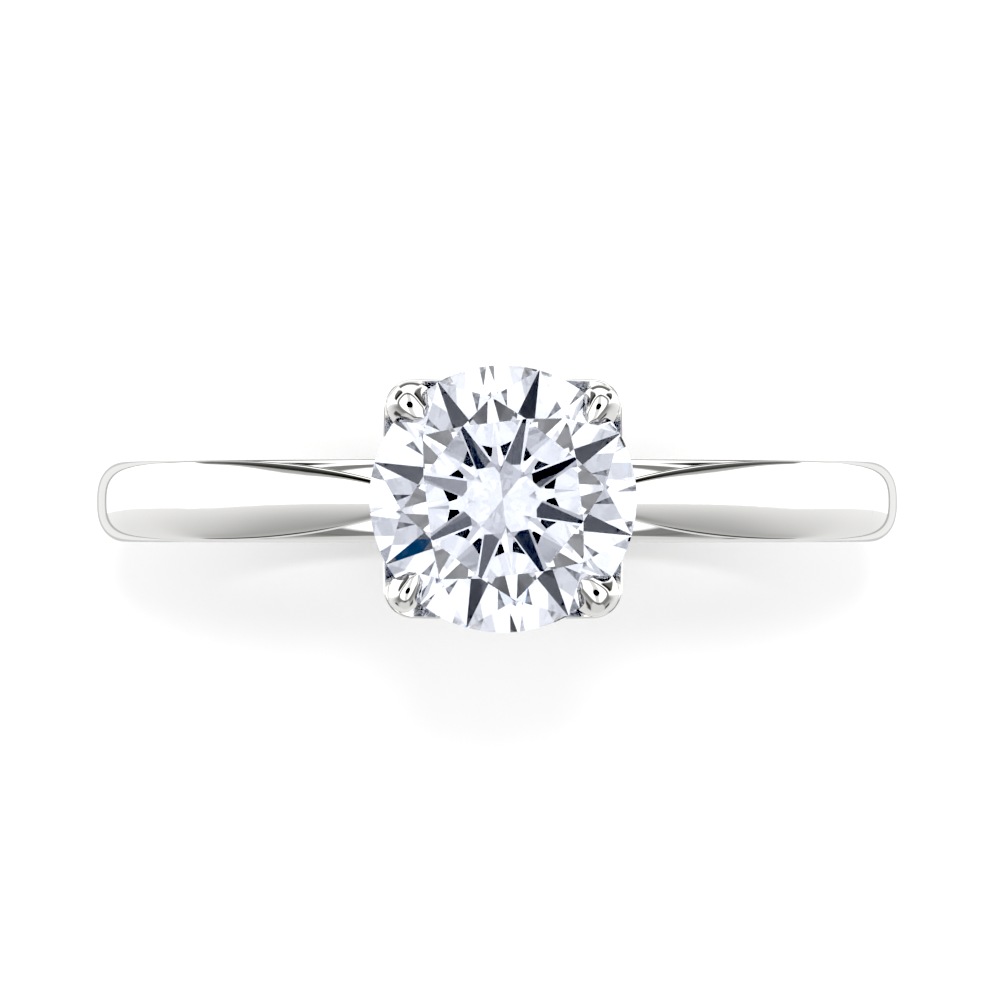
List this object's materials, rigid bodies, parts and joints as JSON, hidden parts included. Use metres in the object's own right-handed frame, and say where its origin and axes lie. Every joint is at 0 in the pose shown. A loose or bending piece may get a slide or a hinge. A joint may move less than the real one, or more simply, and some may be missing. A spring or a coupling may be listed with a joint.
{
  "type": "solitaire engagement ring",
  "caption": "Polished white-metal solitaire ring: round brilliant stone in a tulip claw head on cathedral shoulders and a low-domed band.",
  "frame": {"origin": "centre of the finger hole, at the middle of the band's width", "axes": "+Y along the finger, +Z from the finger towards the stone, +X to the right across the ring"},
  "size_m": [0.0202, 0.0064, 0.0239],
  "materials": {
    "platinum_band": "mirror-polished platinum",
    "platinum_shoulder": "mirror-polished platinum",
    "platinum_head": "polished platinum, softer where the wheel cannot reach",
    "platinum_claw": "mirror-polished platinum",
    "diamond": "colourless faceted and polished stone"
  },
  "bodies": {
    "root": {"shank": "platinum_band", "left_shoulder": "platinum_shoulder", "right_shoulder": "platinum_shoulder", "head_base": "platinum_head", "head_peg": "platinum_head", "gallery_rail": "platinum_head", "claw_front_right": "platinum_claw", "claw_back_right": "platinum_claw", "claw_back_left": "platinum_claw", "claw_front_left": "platinum_claw", "centre_diamond": "diamond"}
  },
  "joints": []
}
